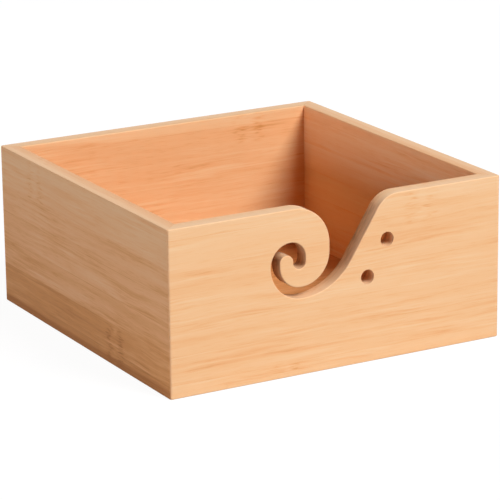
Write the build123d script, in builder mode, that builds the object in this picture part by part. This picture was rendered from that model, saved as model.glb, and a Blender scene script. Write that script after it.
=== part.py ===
from build123d import *
from math import cos, radians, sin
import os

os.makedirs("parts", exist_ok=True)

# A square, open-topped box for a ball of yarn.  Four boards meet in mitred corners around a
# thin base board.  The front board has a curled slot that the yarn is hooked into from
# above, and two round holes beside it for more strands.
# Millimetres, +Z up, origin on the table under the middle of the box, front board at -Y.

# Box
box_size = 200  # outside width and outside depth
box_height = 90
wall = 9  # thickness of the four boards
corner_radius = 1.5  # upright outside corners
ease = 1.2  # rounding along the rim, the foot and the guide
inside = box_size - 2 * wall

# Base board
base_thickness = 4
base_rise = 2.5  # table to the underside of the base
tongue = 4  # reach of the base into each wall
groove_clearance = 0.3  # left beyond the edge of the base, for the board to swell into

# Yarn guide, a slot between two chains of tangent arcs that start at its blind end, the eye
eye_from_middle = 23.6  # to the left of the middle of the front board
eye_below_rim = 28.8
eye_radius = 3.6
# Outer side of the slot, from the eye up, round the curl and up the ramp to the rim
outer_neck = 2.5
hook_radius = 8.6
side_radius = 11.9
sole_radius = 18.8
sweep_radius = 34.4
ramp_angle = 57.4
shoulder_radius = 15
# Inner side of the slot, round the tip of the curl, under it and up over its crest
tip_rise = 0.6
tip_radius = 4.05
inner_neck = 1.6
heel_radius = 12.6
belly_radius = 17.2
crest_radius = 21

# Yarn holes, in a row beside the ramp
hole_diameter = 8
hole_count = 2
hole_spacing = 22.3
row_from_ramp = 14.2
row_start = -3.6  # lowest hole, measured along the ramp from its foot

# Plans shared by the four boards
front_face = Plane.XZ.offset(box_size / 2)

with BuildSketch() as wall_plan:
    RectangleRounded(box_size, box_size, corner_radius)
    Rectangle(inside, inside, mode=Mode.SUBTRACT)

with BuildSketch(Plane.XY.offset(base_rise)) as groove_plan:
    groove_span = inside + 2 * (tongue + groove_clearance)
    Rectangle(groove_span, groove_span)

with BuildSketch() as front_quarter:
    with BuildLine():
        Polyline((0, 0), (-box_size, -box_size), (box_size, -box_size), close=True)
    make_face()


def grooved_walls():
    """Stand up all four walls as one square ring, with the groove for the base."""
    extrude(wall_plan.sketch, amount=box_height)
    extrude(groove_plan.sketch, amount=base_thickness, mode=Mode.SUBTRACT)


def part_at_mitres(turn):
    """Keep the board on one side of the ring; 0 is the front, 90 the right side."""
    quarter = front_quarter.sketch.rotate(Axis.Z, turn)
    extrude(quarter, amount=box_height, mode=Mode.INTERSECT)


def rim_edges():
    return faces().sort_by(Axis.Z)[-1].edges()


def foot_edges():
    return faces().sort_by(Axis.Z)[0].outer_wire().edges()


def turns_from(last, turns):
    """Carry a line on through a run of arcs, each one tangent to the one before."""
    for radius, degrees in turns:
        last = JernArc(last @ 1, last % 1, radius, degrees)
    return last


# Front board
with BuildPart() as front_panel:
    grooved_walls()
    eye_centre = Vector(-eye_from_middle, box_height - eye_below_rim)
    with BuildSketch(front_face):
        with BuildLine():
            # Outer side
            eye_right = eye_centre + Vector(eye_radius, 0)
            neck = Line(eye_right, eye_right + Vector(0, outer_neck))
            quarters = [(hook_radius, 90), (side_radius, 90), (sole_radius, 90)]
            sweep = turns_from(neck, quarters + [(sweep_radius, ramp_angle)])
            shoulder_rise = shoulder_radius * (1 - cos(radians(ramp_angle)))
            climb = box_height - shoulder_rise - (sweep @ 1).Y
            ramp = PolarLine(sweep @ 1, climb / sin(radians(ramp_angle)), ramp_angle)
            shoulder = JernArc(ramp @ 1, ramp % 1, shoulder_radius, -ramp_angle)
            # Inner side
            eye_left = eye_centre - Vector(eye_radius, 0)
            rise = Line(eye_left, eye_left + Vector(0, tip_rise))
            tip = JernArc(rise @ 1, rise % 1, tip_radius, 180)
            throat = Line(tip @ 1, tip @ 1 - Vector(0, inner_neck))
            belly = turns_from(throat, [(heel_radius, 90), (belly_radius, 90)])
            flank = Line(belly @ 1, Vector((belly @ 1).X, box_height - crest_radius))
            crest = JernArc(flank @ 1, flank % 1, crest_radius, 90)
            # Mouth and blind end
            Line(crest @ 1, shoulder @ 1)
            JernArc(eye_left, (0, -1), eye_radius, 180)
        make_face()
    extrude(amount=-wall, mode=Mode.SUBTRACT)
    # The slot's outline is rounded over in one pass with the rim that it runs into.
    guide_edges = edges(Select.LAST).filter_by(Axis.Y, reverse=True)
    mouth_ends = rim_edges().filter_by(Axis.Y).filter_by_position(Axis.X, -inside / 4, inside / 4)
    fillet(rim_edges() - mouth_ends + guide_edges + foot_edges(), ease)
    uphill = Vector(cos(radians(ramp_angle)), sin(radians(ramp_angle)))
    beside = uphill.rotate(Axis.Z, -90)
    lowest_hole = ramp @ 0 + beside * row_from_ramp + uphill * row_start
    with Locations(front_face):
        with Locations([lowest_hole + uphill * hole_spacing * step for step in range(hole_count)]):
            Hole(hole_diameter / 2, depth=wall)
    part_at_mitres(0)

front_panel.part.label = "front_panel"
export_step(front_panel.part, "parts/front_panel.step")

# Right board
with BuildPart() as right_panel:
    grooved_walls()
    fillet(rim_edges() + foot_edges(), ease)
    part_at_mitres(90)

right_panel.part.label = "right_panel"
export_step(right_panel.part, "parts/right_panel.step")

# Back board
with BuildPart() as back_panel:
    grooved_walls()
    fillet(rim_edges() + foot_edges(), ease)
    part_at_mitres(180)

back_panel.part.label = "back_panel"
export_step(back_panel.part, "parts/back_panel.step")

# Left board
with BuildPart() as left_panel:
    grooved_walls()
    fillet(rim_edges() + foot_edges(), ease)
    part_at_mitres(270)

left_panel.part.label = "left_panel"
export_step(left_panel.part, "parts/left_panel.step")

# Base board
with BuildPart() as base_panel:
    with BuildSketch(Plane.XY.offset(base_rise)):
        Rectangle(inside + 2 * tongue, inside + 2 * tongue)
    extrude(amount=base_thickness)

base_panel.part.label = "base_panel"
export_step(base_panel.part, "parts/base_panel.step")
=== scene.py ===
import bmesh
import bpy
from math import cos, pi, radians, sin
from mathutils import Matrix, Vector


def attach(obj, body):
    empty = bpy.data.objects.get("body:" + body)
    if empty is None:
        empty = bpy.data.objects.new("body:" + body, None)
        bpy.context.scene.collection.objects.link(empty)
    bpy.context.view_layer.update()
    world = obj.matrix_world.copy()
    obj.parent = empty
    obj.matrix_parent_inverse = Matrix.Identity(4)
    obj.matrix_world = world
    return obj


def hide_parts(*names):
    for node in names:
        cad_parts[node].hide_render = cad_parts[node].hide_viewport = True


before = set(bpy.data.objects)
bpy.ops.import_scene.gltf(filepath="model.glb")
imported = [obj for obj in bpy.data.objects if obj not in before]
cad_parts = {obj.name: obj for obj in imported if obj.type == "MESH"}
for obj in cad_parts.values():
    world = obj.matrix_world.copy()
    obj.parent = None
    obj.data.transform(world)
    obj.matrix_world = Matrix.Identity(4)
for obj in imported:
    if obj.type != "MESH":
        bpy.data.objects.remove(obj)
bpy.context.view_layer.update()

# An open box for a ball of yarn, in clear-finished bamboo.  The base board goes in first, the
# four walls close round it in mitred corners, and the yarn is drawn out through the front one.
# Metres, +Z up, origin on the table under the middle of the box, front board at -Y.


# Base board
# One thin sheet of bamboo, glued up from strips laid side by side.  Its edges are only broken
# with sandpaper, and they sit in a groove that runs round the inside of the four walls.
mm = 0.001
base_rise = 2.5 * mm  # table to the underside of the base
base_thickness = 4 * mm
base_span = 190 * mm
base_edge = 0.3 * mm
sharp_angle = radians(40)  # faces that turn by more than this meet in an edge


def placed(name, data):
    """Put a new object in the scene, at the origin."""
    thing = bpy.data.objects.new(name, data)
    bpy.context.scene.collection.objects.link(thing)
    return thing


def worked(holder):
    """The mesh of a passing object as its modifiers leave it."""
    mesh = bpy.data.meshes.new_from_object(
        holder.evaluated_get(bpy.context.evaluated_depsgraph_get())
    )
    bpy.data.objects.remove(holder)
    return mesh


def piece_from(name, mesh, material, node):
    """Show the mesh as one finished piece, in the place of its CAD node."""
    mesh.name = name
    mesh.materials.clear()
    mesh.materials.append(material)
    piece = placed(name, mesh)
    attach(piece, "root")
    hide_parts(node)


def smoothed(mesh):
    """Round the eased edges and keep the flat faces flat, by shading alone."""
    mesh.shade_smooth()
    mesh.set_sharp_from_angle(angle=sharp_angle)
    holder = placed("board", mesh)
    shading = holder.modifiers.new("shading", "WEIGHTED_NORMAL")
    shading.keep_sharp = True
    finished = worked(holder)
    bpy.data.meshes.remove(mesh)
    return finished


def add_node(tree, kind, inputs, **settings):
    """Add a node, with its inputs set to plain values or joined to other nodes' outputs."""
    made = tree.nodes.new(kind)
    for setting, value in settings.items():
        setattr(made, setting, value)
    for socket, value in inputs.items():
        if isinstance(value, bpy.types.NodeSocket):
            tree.links.new(value, made.inputs[socket])
        else:
            made.inputs[socket].default_value = value
    return made


def maths(tree, operation, *values):
    """Work out one number from others, point by point."""
    inputs = dict(enumerate(values))
    return add_node(tree, "ShaderNodeMath", inputs, operation=operation).outputs[0]


def blended(tree, share, first, second):
    """Go from the first colour to the second as the share goes from 0 to 1."""
    inputs = {0: share, 6: first, 7: second}
    return add_node(tree, "ShaderNodeMix", inputs, data_type="RGBA").outputs[2]


def grain_noise(tree, place, length, breadth, detail=2):
    """Soft noise from 0 to 1, drawn out along the grain into streaks of this size."""
    along, across, deep = place
    stretched = add_node(
        tree,
        "ShaderNodeCombineXYZ",
        {
            "X": maths(tree, "DIVIDE", along, length),
            "Y": maths(tree, "DIVIDE", across, breadth),
            "Z": maths(tree, "DIVIDE", deep, breadth),
        },
    )
    noise = add_node(
        tree,
        "ShaderNodeTexNoise",
        {"Vector": stretched.outputs[0], "Scale": 1, "Detail": detail, "Roughness": 0.6},
    )
    return noise.outputs["Fac"]


def step_between(tree, value, start, end):
    """Rise smoothly from 0 to 1 as the value goes from start to end, or fall if end is less."""
    inputs = {"Value": value, "From Min": min(start, end), "From Max": max(start, end)}
    if end < start:
        inputs["To Min"] = 1
        inputs["To Max"] = 0
    step = add_node(tree, "ShaderNodeMapRange", inputs, interpolation_type="SMOOTHSTEP")
    return step.outputs[0]


def bell(tree, value, centre, half_width):
    """A soft bump of height 1 round the centre."""
    offset = maths(tree, "DIVIDE", maths(tree, "SUBTRACT", value, centre), half_width)
    squared = maths(tree, "MULTIPLY", offset, offset)
    return maths(tree, "EXPONENT", maths(tree, "MULTIPLY", squared, -1))


def clear_bamboo(
    name, along, across, deep, seed, figure=1, shade=0, strip_and_shade_steps=(), knuckles=(), scorch_and_shade_spots=()
):
    """Planed bamboo strips glued edge to edge under a clear satin lacquer.

    The grain runs along one axis, and the strips lie side by side across it.  Figure is how
    strongly the grain shows, and shade the tone of the lowest strip; the strip steps have the
    places where the next strip is paler or darker, which on some boards is partly painted shade.
    Each knuckle, where the living cane had a joint, is given by its place along the grain, the
    lower and upper edge of its strip, and its strength.
    Scorch spots are where a cutter turned tightly: along, across, reach and strength; their
    darkening is partly scorch and partly painted shade in the deep hook and holes.
    """
    material = bpy.data.materials.new(name)
    material.use_nodes = True
    tree = material.node_tree
    lacquer = tree.nodes["Principled BSDF"]
    spot = add_node(tree, "ShaderNodeTexCoord", {})
    at = add_node(tree, "ShaderNodeSeparateXYZ", {0: spot.outputs["Object"]}).outputs
    facing = add_node(tree, "ShaderNodeSeparateXYZ", {0: spot.outputs["Normal"]}).outputs

    # Strips, each split from another stretch of the cane
    strip_width = 15.3 * mm
    first_edge = 7.3 * mm
    joint_width = 0.3 * mm
    cane_length = 700 * mm
    strips = maths(tree, "DIVIDE", maths(tree, "SUBTRACT", at[across], first_edge), strip_width)
    strip_number = maths(tree, "ADD", maths(tree, "FLOOR", strips), seed)
    chance = add_node(
        tree, "ShaderNodeTexWhiteNoise", {"W": strip_number}, noise_dimensions="1D"
    )
    chances = add_node(tree, "ShaderNodeSeparateColor", {0: chance.outputs["Color"]}).outputs
    off_centre = maths(tree, "SUBTRACT", maths(tree, "FRACT", strips), 0.5)
    to_joint = maths(tree, "SUBTRACT", 0.5, maths(tree, "ABSOLUTE", off_centre))
    from_joint = maths(tree, "MULTIPLY", to_joint, strip_width)

    # Fibres, which wander a little within the strip, from broad bands down to single vessels
    wander_reach = 5 * mm
    moved = maths(tree, "MULTIPLY_ADD", chances[0], cane_length, at[along])
    wander = grain_noise(tree, (moved, at[across], at[deep]), 80 * mm, 24 * mm)
    wandered = maths(tree, "MULTIPLY_ADD", wander, wander_reach, at[across])
    place = (moved, wandered, at[deep])
    bands = grain_noise(tree, place, 130 * mm, 6 * mm, 1)
    streaks = grain_noise(tree, place, 55 * mm, 2.2 * mm, 1)
    fibres = grain_noise(tree, place, 22 * mm, 0.8 * mm, 2)
    vessels = step_between(tree, grain_noise(tree, place, 9 * mm, 0.35 * mm, 0), 0.56, 0.76)
    lively = step_between(tree, grain_noise(tree, place, 70 * mm, 11 * mm, 1), 0.3, 0.7)
    # The glue line between strips shows in some stretches and fades away in others.
    fading = step_between(tree, grain_noise(tree, place, 60 * mm, 9 * mm, 0), 0.42, 0.62)
    joint = maths(tree, "MULTIPLY", step_between(tree, from_joint, joint_width, 0), fading)

    # Knuckles: a pale scar with a ragged stain on each side of it
    scar_width = 3.5 * mm
    stain_width = 2.8 * mm
    stain_from_scar = 6 * mm
    raggedness = 18 * mm
    scar_strength = 0.3
    unmoved = (at[along], at[across], at[deep])
    ragged = maths(tree, "SUBTRACT", grain_noise(tree, unmoved, 14 * mm, 1.3 * mm, 2), 0.5)
    mottled = step_between(tree, grain_noise(tree, unmoved, 9 * mm, 1.2 * mm, 2), 0.35, 0.7)
    shaken = maths(tree, "MULTIPLY_ADD", ragged, raggedness, at[along])
    knuckle_tone = 0
    for middle, lower, upper, strength in knuckles:
        distance = maths(tree, "ABSOLUTE", maths(tree, "SUBTRACT", shaken, middle))
        stain = bell(tree, distance, stain_from_scar, stain_width)
        scar = bell(tree, distance, 0, scar_width)
        mark = maths(tree, "SUBTRACT", maths(tree, "MULTIPLY", scar, scar_strength), stain)
        rising = step_between(tree, at[across], lower - mm, lower + mm)
        falling = step_between(tree, at[across], upper + mm, upper - mm)
        window = maths(tree, "MULTIPLY", maths(tree, "MULTIPLY", rising, falling), strength)
        mark = maths(tree, "MULTIPLY", maths(tree, "MULTIPLY", mark, mottled), window)
        knuckle_tone = maths(tree, "ADD", mark, knuckle_tone)

    # Tone, from 0 for the darkest streak to 1 for the palest
    plain_tone = 0.62
    outside_lift = 0.1
    tone = 0
    for grain, strength in ((streaks, 0.8), (fibres, 0.5)):
        uneven = maths(tree, "SUBTRACT", grain, 0.5)
        tone = maths(tree, "MULTIPLY_ADD", uneven, strength * figure, tone)
    tone = maths(tree, "MULTIPLY_ADD", tone, maths(tree, "ADD", lively, 0.1), plain_tone + shade)
    for grain, strength in ((bands, 0.42), (chances[1], 0.08)):
        uneven = maths(tree, "SUBTRACT", grain, 0.5)
        tone = maths(tree, "MULTIPLY_ADD", uneven, strength * figure, tone)
    for mark, change in ((vessels, -0.08), (joint, -0.15)):
        tone = maths(tree, "MULTIPLY_ADD", mark, change, tone)
    tone = maths(tree, "ADD", tone, knuckle_tone)
    for edge, change in strip_and_shade_steps:
        next_strip = step_between(tree, at[across], edge - mm, edge + mm)
        tone = maths(tree, "MULTIPLY_ADD", next_strip, change, tone)
    # The tone is paler towards the outside of the box, which leaves the inner half of each rim
    # darker as painted shade.
    outside = step_between(tree, maths(tree, "ABSOLUTE", at[deep]), 91 * mm, 99 * mm)
    tone = maths(tree, "MULTIPLY_ADD", outside, outside_lift, tone)
    ramp = add_node(tree, "ShaderNodeValToRGB", {"Fac": tone})
    stops = ramp.color_ramp.elements
    stops[0].color = (0.48, 0.18, 0.05, 1)
    stops[1].color = (0.94, 0.65, 0.40, 1)
    for position, colour in (
        (0.3, (0.73, 0.33, 0.115, 1)),
        (0.45, (0.87, 0.45, 0.21, 1)),
        (0.6, (0.90, 0.53, 0.275, 1)),
    ):
        stops.new(position).color = colour

    # Cuts across the fibres, which show the layers of the cane and drink in more lacquer
    darkest_layer = (0.44, 0.165, 0.06, 1)
    palest_layer = (0.80, 0.37, 0.16, 1)
    end_grain_cover = 0.85
    end_grain = step_between(tree, maths(tree, "ABSOLUTE", facing[along]), 0.25, 0.95)
    layers = grain_noise(tree, (at[deep], at[along], at[across]), 1.1 * mm, 6 * mm, 2)
    ends = blended(tree, step_between(tree, layers, 0.3, 0.7), darkest_layer, palest_layer)
    cover = maths(tree, "MULTIPLY", end_grain, end_grain_cover)
    wood = blended(tree, cover, ramp.outputs[0], ends)

    # Rims, cuts and rounded edges painted paler, most of all on the outside of the box: partly
    # rubbed wear, partly a painted sheen of the lacquer
    sheen_and_rubbed_bamboo = (0.95, 0.64, 0.40, 1)
    sheen_and_rubbed_inside = 0.05
    sheen_and_rubbed_outside = 0.5
    off_face = maths(tree, "SUBTRACT", 1, maths(tree, "MULTIPLY", facing[deep], facing[deep]))
    sheen_and_rubbed_paleness = maths(
        tree, "MULTIPLY_ADD", outside, sheen_and_rubbed_outside - sheen_and_rubbed_inside, sheen_and_rubbed_inside
    )
    wood = blended(tree, maths(tree, "MULTIPLY", off_face, sheen_and_rubbed_paleness), wood, sheen_and_rubbed_bamboo)

    # Scorching in the cuts, where the cutter lingered, and painted shade in the deep hook and the
    # drilled holes
    scorch_and_shade_bamboo = (0.20, 0.11, 0.06, 1)
    scorch_and_shade = 0
    for centre_along, centre_across, reach, strength in scorch_and_shade_spots:
        aside = maths(tree, "SUBTRACT", at[along], centre_along)
        above = maths(tree, "SUBTRACT", at[across], centre_across)
        squared = maths(tree, "MULTIPLY_ADD", aside, aside, maths(tree, "MULTIPLY", above, above))
        near = step_between(tree, maths(tree, "SQRT", squared), reach, reach * 0.7)
        scorch_and_shade = maths(tree, "MULTIPLY_ADD", near, strength, scorch_and_shade)
    scorch_and_shade = maths(tree, "MULTIPLY", scorch_and_shade, step_between(tree, off_face, 0.6, 1))
    wood = blended(tree, scorch_and_shade, wood, scorch_and_shade_bamboo)
    tree.links.new(wood, lacquer.inputs["Base Color"])

    # Satin lacquer, duller on cuts and rubbed edges, with the fibres showing through as relief
    roughness = 0.42
    for part, change in ((fibres, 0.16), (end_grain, 0.2), (off_face, 0.06)):
        roughness = maths(tree, "MULTIPLY_ADD", part, change, roughness)
    tree.links.new(roughness, lacquer.inputs["Roughness"])
    lacquer.inputs["IOR"].default_value = 1.4
    lacquer.inputs["Specular IOR Level"].default_value = 0.12
    relief = 0
    for part, height in ((streaks, 0.03), (fibres, 0.03), (vessels, -0.02), (joint, -0.01)):
        relief = maths(tree, "MULTIPLY_ADD", part, height, relief)
    bump = add_node(tree, "ShaderNodeBump", {"Height": relief, "Distance": mm, "Strength": 1})
    tree.links.new(bump.outputs[0], lacquer.inputs["Normal"])
    return material


base_bamboo = clear_bamboo("base_bamboo", "X", "Y", "Z", seed=3, figure=0.55, shade=-0.32)

bm = bmesh.new()
bmesh.ops.create_cube(bm, size=1)
bmesh.ops.scale(bm, vec=(base_span, base_span, base_thickness), verts=bm.verts)
bmesh.ops.translate(bm, vec=(0, 0, base_rise + base_thickness / 2), verts=bm.verts)
bmesh.ops.bevel(bm, geom=bm.edges, offset=base_edge, segments=3, profile=0.5, affect="EDGES")
base_mesh = bpy.data.meshes.new("base_board")
bm.to_mesh(base_mesh)
bm.free()
piece_from("base_board", smoothed(base_mesh), base_bamboo, "base_panel")


# Left, back and right boards
# Three like boards of solid bamboo, moulded to one cross-section with a groove for the base.
# Each end is cut to 45 degrees, and the boards meet there in glued, sanded mitres.
box_half = 100 * mm  # middle of the box to the outside of each board
box_height = 90 * mm
wall = 9 * mm
corner_radius = 1.5 * mm
ease = 0.6 * mm
groove_depth = 4.3 * mm
glue_line = 0.03 * mm
round_steps = 6  # flats in a rounded edge, and in each board's half of an upright corner
touching = 0.001 * mm  # points nearer than this are one point


def cross_section(eased):
    """The outline of a board's end, with how far each of its corners is rounded."""
    outer = box_half
    inner = box_half - wall
    groove = inner + groove_depth
    groove_top = base_rise + base_thickness
    corners = [
        (outer, 0, eased),
        (outer, box_height, eased),
        (inner, box_height, eased),
        (inner, groove_top, 0),
        (groove, groove_top, 0),
        (groove, base_rise, 0),
        (inner, base_rise, 0),
        (inner, 0, 0),
    ]
    outline = bpy.data.meshes.new("cross_section")
    points = [(depth, height, 0) for depth, height, rounding in corners]
    edges = [(i, (i + 1) % len(corners)) for i in range(len(corners))]
    outline.from_pydata(points, edges, [])
    roundings = outline.attributes.new("rounding", "FLOAT", "POINT")
    roundings.data.foreach_set("value", [rounding for depth, height, rounding in corners])
    return outline


def capture(tree, kind, geometry, value):
    """Carry a value along with the points of a curve."""
    captured = tree.nodes.new("GeometryNodeCaptureAttribute")
    captured.capture_items.new(kind, "Value")
    tree.links.new(geometry, captured.inputs[0])
    tree.links.new(value, captured.inputs[1])
    return captured


def mitred_board_tree():
    """Sweep a cross-section from mitre to mitre, round half of the upright corner at each end."""
    tree = bpy.data.node_groups.new("mitred_board", "GeometryNodeTree")
    for name, kind, value in (
        ("Cross Section", "NodeSocketGeometry", None),
        ("Corner Start", "NodeSocketFloat", box_half - corner_radius),
        ("Glue Line", "NodeSocketFloat", glue_line),
        ("Turn", "NodeSocketFloat", 0.0),
        ("Corner Steps", "NodeSocketInt", round_steps),
        ("Finish", "NodeSocketMaterial", None),
    ):
        socket = tree.interface.new_socket(name, in_out="INPUT", socket_type=kind)
        if value is not None:
            socket.default_value = value
    tree.interface.new_socket("Board", in_out="OUTPUT", socket_type="NodeSocketGeometry")
    given = tree.nodes.new("NodeGroupInput").outputs

    outline = add_node(tree, "GeometryNodeMeshToCurve", {"Mesh": given["Cross Section"]})
    rounding = add_node(
        tree, "GeometryNodeInputNamedAttribute", {"Name": "rounding"}, data_type="FLOAT"
    )
    rounded = add_node(
        tree,
        "GeometryNodeFilletCurve",
        {
            "Curve": outline.outputs[0],
            "Radius": rounding.outputs["Attribute"],
            "Count": round_steps,
            "Limit Radius": False,
        },
        mode="POLY",
    )
    drawn_at = add_node(tree, "GeometryNodeInputPosition", {})
    section = capture(tree, "VECTOR", rounded.outputs[0], drawn_at.outputs[0])
    # The rail has one stop for every step of the two half corners.
    stops = maths(tree, "MULTIPLY_ADD", given["Corner Steps"], 2, 2)
    line = add_node(
        tree, "GeometryNodeCurvePrimitiveLine", {"Start": (-1, 0, 0), "End": (1, 0, 0)}
    )
    stopped = add_node(
        tree, "GeometryNodeResampleCurve", {"Curve": line.outputs[0], "Count": stops}, mode="COUNT"
    )
    stop = add_node(tree, "GeometryNodeInputIndex", {})
    rail = capture(tree, "INT", stopped.outputs[0], stop.outputs[0])
    swept = add_node(
        tree,
        "GeometryNodeCurveToMesh",
        {"Curve": rail.outputs[0], "Profile Curve": section.outputs[0], "Fill Caps": True},
    )
    # Stops count outwards from the middle: 0.5, 1.5 ... on each side.
    middle = maths(tree, "ADD", given["Corner Steps"], 0.5)
    from_middle = maths(tree, "SUBTRACT", rail.outputs[1], middle)
    side = maths(tree, "SIGN", from_middle)
    step = maths(tree, "SUBTRACT", maths(tree, "ABSOLUTE", from_middle), 0.5)
    turn = maths(tree, "MULTIPLY", maths(tree, "DIVIDE", step, given["Corner Steps"]), pi / 4)
    drawn = add_node(tree, "ShaderNodeSeparateXYZ", {0: section.outputs[1]})
    centre = maths(tree, "MINIMUM", drawn.outputs["X"], given["Corner Start"])
    radius = maths(tree, "SUBTRACT", drawn.outputs["X"], centre)
    reach = maths(tree, "MULTIPLY_ADD", maths(tree, "SINE", turn), radius, centre)
    length = maths(tree, "MULTIPLY", side, maths(tree, "SUBTRACT", reach, given["Glue Line"]))
    front = maths(tree, "MULTIPLY_ADD", maths(tree, "COSINE", turn), radius, centre)
    new_place = add_node(
        tree,
        "ShaderNodeCombineXYZ",
        {"X": length, "Y": maths(tree, "MULTIPLY", front, -1), "Z": drawn.outputs["Y"]},
    )
    mitred = add_node(
        tree,
        "GeometryNodeSetPosition",
        {"Geometry": swept.outputs[0], "Position": new_place.outputs[0]},
    )
    turned = add_node(tree, "ShaderNodeCombineXYZ", {"Z": given["Turn"]})
    stood = add_node(
        tree,
        "GeometryNodeTransform",
        {"Geometry": mitred.outputs[0], "Rotation": turned.outputs[0]},
    )
    # Inside the rounding all stops of a mitre fall on one point.
    merged = add_node(
        tree, "GeometryNodeMergeByDistance", {"Geometry": stood.outputs[0], "Distance": touching}
    )
    outward = add_node(tree, "GeometryNodeFlipFaces", {"Mesh": merged.outputs[0]})
    realized = add_node(tree, "GeometryNodeRealizeInstances", {"Geometry": outward.outputs[0]})
    finished = add_node(
        tree,
        "GeometryNodeSetMaterial",
        {"Geometry": realized.outputs[0], "Material": given["Finish"]},
    )
    out = tree.nodes.new("NodeGroupOutput")
    tree.links.new(finished.outputs[0], out.inputs[0])
    return tree


def mitred_board(tree, section, turn, material, glue=glue_line):
    """One board of the box as a plain mesh; a turn of 0 makes the front one."""
    holder = placed("board", section)
    board = holder.modifiers.new("board", "NODES")
    board.node_group = tree
    identifiers = {item.name: item.identifier for item in tree.interface.items_tree}
    board[identifiers["Glue Line"]] = glue
    board[identifiers["Turn"]] = turn
    board[identifiers["Finish"]] = material
    return worked(holder)


# Where the next strip is paler or darker, from the foot up, and where the knuckles are.  The left
# board's lowest 7 mm are a painted contact shadow along the foot.
left_steps_and_shade = (
    (4 * mm, 0.18),
    (7.3 * mm, 0.08),
    (22.6 * mm, 0.13),
    (53.2 * mm, 0.04),
    (68.5 * mm, 0.1),
)
# The right and back boards' steps also paint the shade inside the box: the right board darker at
# its foot and near its rim, the back board below its top strip.
right_steps_and_shade = ((22.6 * mm, 0.05), (37.9 * mm, 0.09), (68.5 * mm, -0.17), (83.8 * mm, -0.05))
back_steps_and_shade = ((68.5 * mm, -0.06), (83.8 * mm, 0.13))
left_knuckles = ((56 * mm, 68 * mm, 92 * mm, 0.15), (-38 * mm, 0, 22 * mm, 0.27))
back_knuckles = ((54 * mm, 73 * mm, 92 * mm, 0.17),)
right_bamboo = clear_bamboo(
    "right_bamboo", "Y", "Z", "X", seed=11, figure=0.75, shade=-0.03, strip_and_shade_steps=right_steps_and_shade
)
back_bamboo = clear_bamboo(
    "back_bamboo",
    "X",
    "Z",
    "Y",
    seed=5,
    figure=0.6,
    shade=-0.08,
    strip_and_shade_steps=back_steps_and_shade,
    knuckles=back_knuckles,
)
# The left board is set much deeper than the others and darkest towards the foot: partly its strips'
# own tone, partly painted shade of its unlit side.
left_bamboo = clear_bamboo(
    "left_bamboo",
    "Y",
    "Z",
    "X",
    seed=17,
    figure=0.6,
    shade=-0.68,
    strip_and_shade_steps=left_steps_and_shade,
    knuckles=left_knuckles,
)

board_tree = mitred_board_tree()
plain_section = cross_section(ease)
for side, turn, material in (
    ("right", pi / 2, right_bamboo),
    ("back", pi, back_bamboo),
    ("left", -pi / 2, left_bamboo),
):
    board = mitred_board(board_tree, plain_section, turn, material)
    piece_from(f"{side}_board", smoothed(board), material, f"{side}_panel")


# Front board
# A fourth board of the same bamboo.  The curled guide for the yarn is routed out of its rim and
# its edges rounded over, and two holes for more strands are drilled beside it.
eye = Vector((-23.6 * mm, 61.2 * mm))  # blind end of the guide, seen from the front
eye_radius = 3.6 * mm
outer_neck = 2.5 * mm
hook_radius = 8.6 * mm
side_radius = 11.9 * mm
sole_radius = 18.8 * mm
sweep_radius = 34.4 * mm
ramp_angle = 57.4  # degrees
shoulder_radius = 15 * mm
tip_rise = 0.6 * mm
tip_radius = 4.05 * mm
inner_neck = 1.6 * mm
heel_radius = 12.6 * mm
belly_radius = 17.2 * mm
crest_radius = 21 * mm
hole_diameter = 8 * mm
hole_spacing = 22.3 * mm
row_from_ramp = 14.2 * mm
row_start = -3.6 * mm  # up the slope, from the foot of the ramp to the lower hole
arc_step = 3  # degrees


class CutLine:
    """The path of the router, as points on straight runs and tangent arcs."""

    def __init__(self, start, heading):
        self.points = [start]
        self.heading = heading

    def ahead(self, turned=0):
        angle = radians(self.heading + turned)
        return Vector((cos(angle), sin(angle)))

    def run(self, length):
        self.points.append(self.points[-1] + self.ahead() * length)

    def arc(self, radius, degrees):
        side = 1 if degrees > 0 else -1
        centre = self.points[-1] + self.ahead(90 * side) * radius
        steps = max(round(abs(degrees) / arc_step), 1)
        for _ in range(steps):
            self.heading += degrees / steps
            self.points.append(centre - self.ahead(90 * side) * radius)


# The two sides of the guide, from the eye outwards
outer = CutLine(eye + Vector((eye_radius, 0)), 90)
outer.run(outer_neck)
for radius in (hook_radius, side_radius, sole_radius):
    outer.arc(radius, 90)
outer.arc(sweep_radius, ramp_angle)
ramp_foot = outer.points[-1]
uphill = outer.ahead()
shoulder_rise = shoulder_radius * (1 - cos(radians(ramp_angle)))
outer.run((box_height - shoulder_rise - ramp_foot.y) / uphill.y)
outer.arc(shoulder_radius, -ramp_angle)

inner = CutLine(eye - Vector((eye_radius, 0)), 90)
inner.run(tip_rise)
inner.arc(tip_radius, 180)
inner.run(inner_neck)
inner.arc(heel_radius, 90)
inner.arc(belly_radius, 90)
inner.run(box_height - crest_radius - inner.points[-1].y)
inner.arc(crest_radius, 90)

eye_line = CutLine(eye - Vector((eye_radius, 0)), -90)
eye_line.arc(eye_radius, 180)

beyond_rim = Vector((0, 5 * mm))
guide = list(reversed(eye_line.points))[:-1] + inner.points
guide += [inner.points[-1] + beyond_rim, outer.points[-1] + beyond_rim]
guide += list(reversed(outer.points))[:-1]

beside = Vector((uphill.y, -uphill.x))
hole_row = ramp_foot + beside * row_from_ramp + uphill * row_start
hole_centres = [hole_row + uphill * hole_spacing * number for number in range(2)]


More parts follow.
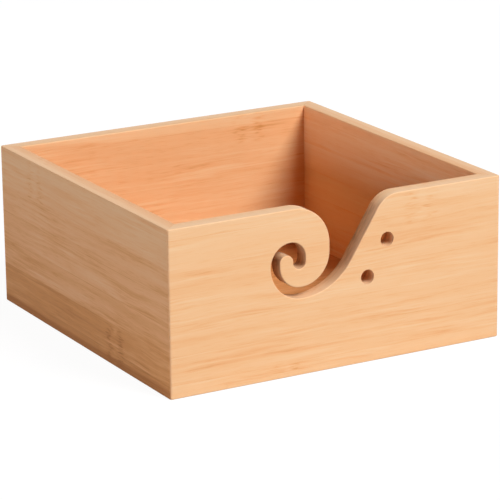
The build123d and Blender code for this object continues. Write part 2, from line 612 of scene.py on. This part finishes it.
def cut_through(board, outline):
    """Cut a hole of this outline, drawn as seen from the front, right through the board."""
    bm = bmesh.new()
    front = -box_half - wall
    back = -box_half + 2 * wall
    face = bm.faces.new([bm.verts.new((point.x, front, point.y)) for point in outline])
    pushed = bmesh.ops.extrude_face_region(bm, geom=[face])["geom"]
    moved = [part for part in pushed if isinstance(part, bmesh.types.BMVert)]
    bmesh.ops.translate(bm, vec=(0, back - front, 0), verts=moved)
    bmesh.ops.recalc_face_normals(bm, faces=bm.faces)
    cutter_mesh = bpy.data.meshes.new("cutter")
    bm.to_mesh(cutter_mesh)
    bm.free()
    cutter = placed("cutter", cutter_mesh)
    holder = placed("board", board)
    cut = holder.modifiers.new("cut", "BOOLEAN")
    cut.operation = "DIFFERENCE"
    cut.solver = "EXACT"
    cut.object = cutter
    mesh = worked(holder)
    bpy.data.objects.remove(cutter)
    return mesh


def three_sides(material):
    """The front board glued to its neighbours, so that its rim can be rounded round the corners."""
    bm = bmesh.new()
    for turn in (-pi / 2, 0, pi / 2):
        side = mitred_board(board_tree, cross_section(0), turn, material, 0)
        bm.from_mesh(side)
        bpy.data.meshes.remove(side)
    bmesh.ops.remove_doubles(bm, verts=bm.verts, dist=touching)
    # Faces in a mitre stand at 45 degrees, where x times y of the normal is 0.5.
    glued = [
        face
        for face in bm.faces
        if abs(face.normal.x * face.normal.y) > 0.4
        and all(abs(abs(vert.co.x) + vert.co.y) < 10 * touching for vert in face.verts)
    ]
    bmesh.ops.delete(bm, geom=glued, context="FACES_ONLY")
    mesh = bpy.data.meshes.new("three_sides")
    bm.to_mesh(mesh)
    bm.free()
    return mesh


def mark_eased_edges(bm):
    """Mark the outward edges that are rounded over: all but those of the groove."""
    weight = bm.edges.layers.float.new("bevel_weight_edge")
    for edge in bm.edges:
        middle = (edge.verts[0].co + edge.verts[1].co) / 2
        inside = max(abs(middle.x), abs(middle.y)) < box_half - wall / 4
        at_groove = inside and middle.z < base_rise + base_thickness + mm
        if edge.calc_face_angle(0) > sharp_angle and edge.is_convex and not at_groove:
            edge[weight] = 1


front_edges = ((83.8 * mm, 0.06),)
front_knuckles = ((50 * mm, 72 * mm, 92 * mm, 0.2), (-32 * mm, 3 * mm, 8 * mm, 0.25))
# The hook and the holes darken partly with scorch and partly with painted shade
scorch_and_shade_spots = [(eye.x - 4 * mm, eye.y - 4 * mm, 19 * mm, 0.32)]
scorch_and_shade_spots += [(centre.x, centre.y, hole_diameter, 0.1) for centre in hole_centres]
front_bamboo = clear_bamboo(
    "front_bamboo",
    "X",
    "Z",
    "Y",
    seed=23,
    figure=0.75,
    shade=-0.08,
    strip_and_shade_steps=front_edges,
    knuckles=front_knuckles,
    scorch_and_shade_spots=scorch_and_shade_spots,
)

# The guide is cut and all edges are rounded over while the board is joined to its neighbours
front_mesh = cut_through(three_sides(front_bamboo), guide)
bm = bmesh.new()
bm.from_mesh(front_mesh)
bmesh.ops.remove_doubles(bm, verts=bm.verts, dist=0.02 * mm)
bmesh.ops.dissolve_limit(bm, angle_limit=radians(1), verts=bm.verts, edges=bm.edges)
mark_eased_edges(bm)
bm.to_mesh(front_mesh)
bm.free()
holder = placed("board", front_mesh)
easing = holder.modifiers.new("easing", "BEVEL")
easing.limit_method = "WEIGHT"
easing.width = ease
easing.segments = round_steps
easing.use_clamp_overlap = False
front_mesh = worked(holder)

# Then it is parted from them at the mitres, and the holes are drilled, with crisp edges
bm = bmesh.new()
bm.from_mesh(front_mesh)
for side in (-1, 1):
    bmesh.ops.bisect_plane(
        bm,
        geom=bm.verts[:] + bm.edges[:] + bm.faces[:],
        plane_co=(-side * glue_line, 0, 0),
        plane_no=(side, 1, 0),
        clear_outer=True,
    )
bmesh.ops.edgeloop_fill(bm, edges=[edge for edge in bm.edges if edge.is_boundary])
bmesh.ops.recalc_face_normals(bm, faces=bm.faces)
bm.to_mesh(front_mesh)
bm.free()
for hole_centre in hole_centres:
    hole_line = CutLine(hole_centre + Vector((hole_diameter / 2, 0)), 90)
    hole_line.arc(hole_diameter / 2, 360)
    front_mesh = cut_through(front_mesh, hole_line.points[:-1])
piece_from("front_board", smoothed(front_mesh), front_bamboo, "front_panel")


# Studio
# A white floor that runs on as the backdrop, a soft key lamp high at the front right, a low
# lamp at the left and one behind to lift the shadows, and a faint light from all round.
floor_half = 4
lamp_distance = 6
white = (1, 1, 1, 1)


def seen_past_the_box(tree):
    """1 for rays that look at the backdrop, straight, in a gloss or through glass; else 0."""
    paths = add_node(tree, "ShaderNodeLightPath", {}).outputs
    seen = maths(tree, "MAXIMUM", paths["Is Camera Ray"], paths["Is Glossy Ray"])
    return maths(tree, "MAXIMUM", seen, paths["Is Transmission Ray"])


floor_mesh = bpy.data.meshes.new("floor")
floor_mesh.from_pydata(
    [(x * floor_half, y * floor_half, 0) for x, y in ((-1, -1), (1, -1), (1, 1), (-1, 1))],
    [],
    [(0, 1, 2, 3)],
)
floor_paint = bpy.data.materials.new("white_floor")
floor_paint.use_nodes = True
tree = floor_paint.node_tree
tree.nodes.clear()
# The box is lit by a grey floor; what is seen is a white one that still takes its shadow.
lit = add_node(tree, "ShaderNodeBsdfDiffuse", {"Color": (0.5, 0.5, 0.5, 1)})
shaded = add_node(tree, "ShaderNodeBsdfDiffuse", {"Color": (0.08, 0.08, 0.08, 1)})
glow = add_node(tree, "ShaderNodeEmission", {"Strength": 0.955})
shown = add_node(tree, "ShaderNodeAddShader", {0: shaded.outputs[0], 1: glow.outputs[0]})
mixed = add_node(
    tree,
    "ShaderNodeMixShader",
    {0: seen_past_the_box(tree), 1: lit.outputs[0], 2: shown.outputs[0]},
)
add_node(tree, "ShaderNodeOutputMaterial", {"Surface": mixed.outputs[0]})
floor_mesh.materials.append(floor_paint)
floor = placed("floor", floor_mesh)

# Each lamp is turned to the right of the front and raised above the table, in degrees
for name, turn, height, width, tall, power, colour in (
    ("key", 24, 43.5, 2.6, 2.6, 387, (1, 1, 1)),
    ("left_fill", -85, 7, 6, 1.2, 136, (1, 1, 1.07)),
    ("back_fill", 165, 9, 6, 1.6, 60, (1, 1, 1)),
):
    light = bpy.data.lights.new(name, "AREA")
    light.shape = "ELLIPSE"
    light.size = width
    light.size_y = tall
    light.energy = power
    light.color = colour
    lamp = placed(name, light)
    aim = Matrix.Rotation(radians(turn), 4, "Z") @ Matrix.Rotation(radians(90 - height), 4, "X")
    lamp.matrix_world = aim @ Matrix.Translation((0, 0, lamp_distance))

world = bpy.data.worlds.new("studio")
bpy.context.scene.world = world
world.use_nodes = True
tree = world.node_tree
tree.nodes.clear()
around = add_node(tree, "ShaderNodeBackground", {"Color": white, "Strength": 0.02})
backdrop = add_node(tree, "ShaderNodeBackground", {"Color": white, "Strength": 1})
mixed = add_node(
    tree,
    "ShaderNodeMixShader",
    {0: seen_past_the_box(tree), 1: around.outputs[0], 2: backdrop.outputs[0]},
)
add_node(tree, "ShaderNodeOutputWorld", {"Surface": mixed.outputs[0]})


# Camera
# It looks down at the front left corner through a long lens, from a little over 1.5 metres.
camera_turn = -29.122  # degrees, as are its height and roll
camera_height = 16.542
camera_roll = -0.722
camera_distance = 1.5671
camera_target = Vector((0.00295, 0, 0.03839))
camera = bpy.data.cameras.new("camera")
camera.lens = 205.10
camera.sensor_width = 36
camera_stand = placed("camera", camera)
aim = Matrix.Rotation(radians(camera_turn), 4, "Z")
aim = aim @ Matrix.Rotation(radians(90 - camera_height), 4, "X")
aim = aim @ Matrix.Rotation(radians(camera_roll), 4, "Z")
camera_stand.matrix_world = (
    Matrix.Translation(camera_target) @ aim @ Matrix.Translation((0, 0, camera_distance))
)
bpy.context.scene.camera = camera_stand
bpy.context.scene.view_settings.view_transform = "Standard"
